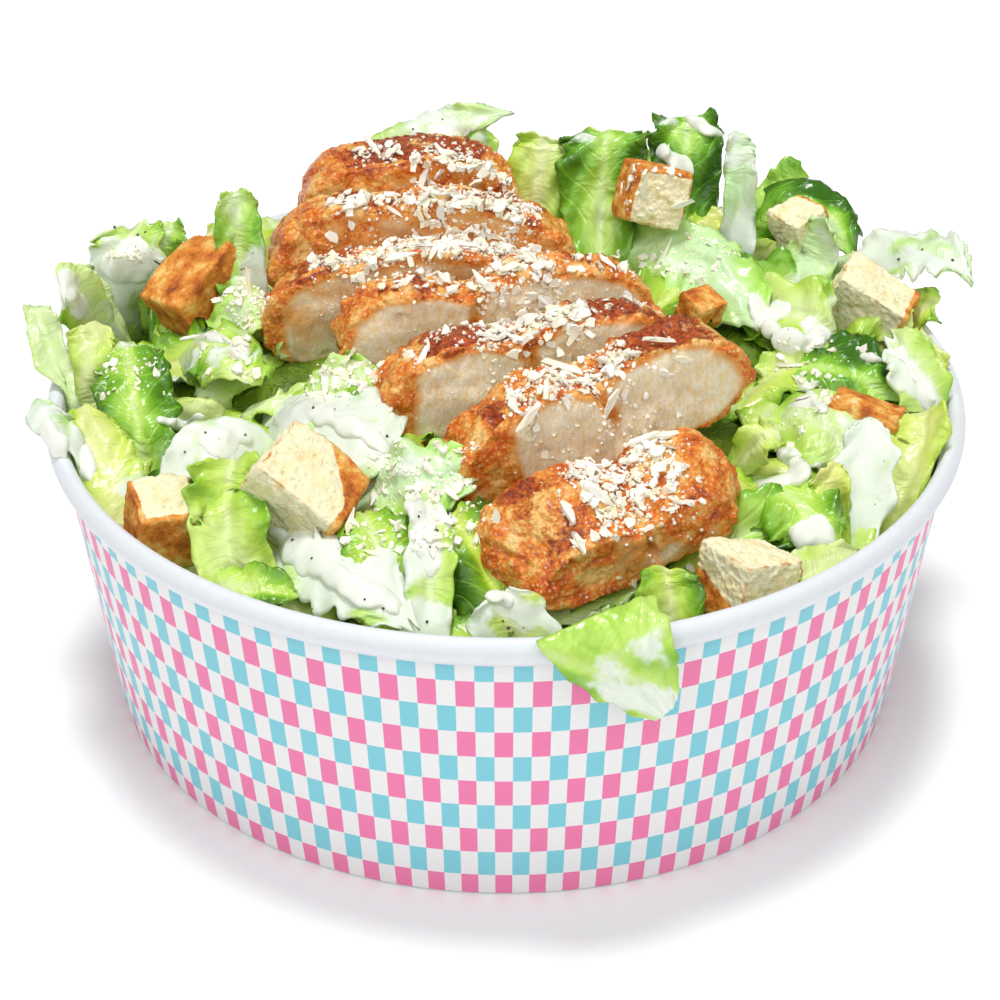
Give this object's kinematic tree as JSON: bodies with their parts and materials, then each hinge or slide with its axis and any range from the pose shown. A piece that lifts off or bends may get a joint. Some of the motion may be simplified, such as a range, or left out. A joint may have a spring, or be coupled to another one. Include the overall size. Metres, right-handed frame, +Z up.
{
  "type": "chicken caesar salad in a bowl",
  "caption": "Lettuce heap with a fanned sliced chicken breast, croutons, dressing and parmesan in a round paper bowl with a rolled rim.",
  "frame": {"origin": "middle of the bowl's underside", "axes": "+Z up, -Y towards the side from which the picture was taken, +X to the right in it"},
  "size_m": [0.1951, 0.1877, 0.0983],
  "materials": {
    "bowl": "white coated paper board with a checked print, softly shiny",
    "chicken": "grilled chicken, browned crust and pale fibrous cut faces",
    "crouton": "toasted bread, dry and porous",
    "lettuce": "fresh wet lettuce, partly coated with white dressing"
  },
  "bodies": {
    "root": {"bowl": "bowl", "chicken_slice_1": "chicken", "chicken_slice_2": "chicken", "chicken_slice_3": "chicken", "chicken_slice_4": "chicken", "chicken_slice_5": "chicken", "chicken_slice_6": "chicken", "chicken_slice_7": "chicken", "crouton_1": "crouton", "crouton_2": "crouton", "crouton_3": "crouton", "crouton_4": "crouton", "crouton_5": "crouton", "crouton_6": "crouton", "crouton_7": "crouton", "crouton_8": "crouton", "crouton_9": "crouton", "leaf_over_rim": "lettuce", "lettuce_heap": "lettuce"}
  },
  "joints": []
}
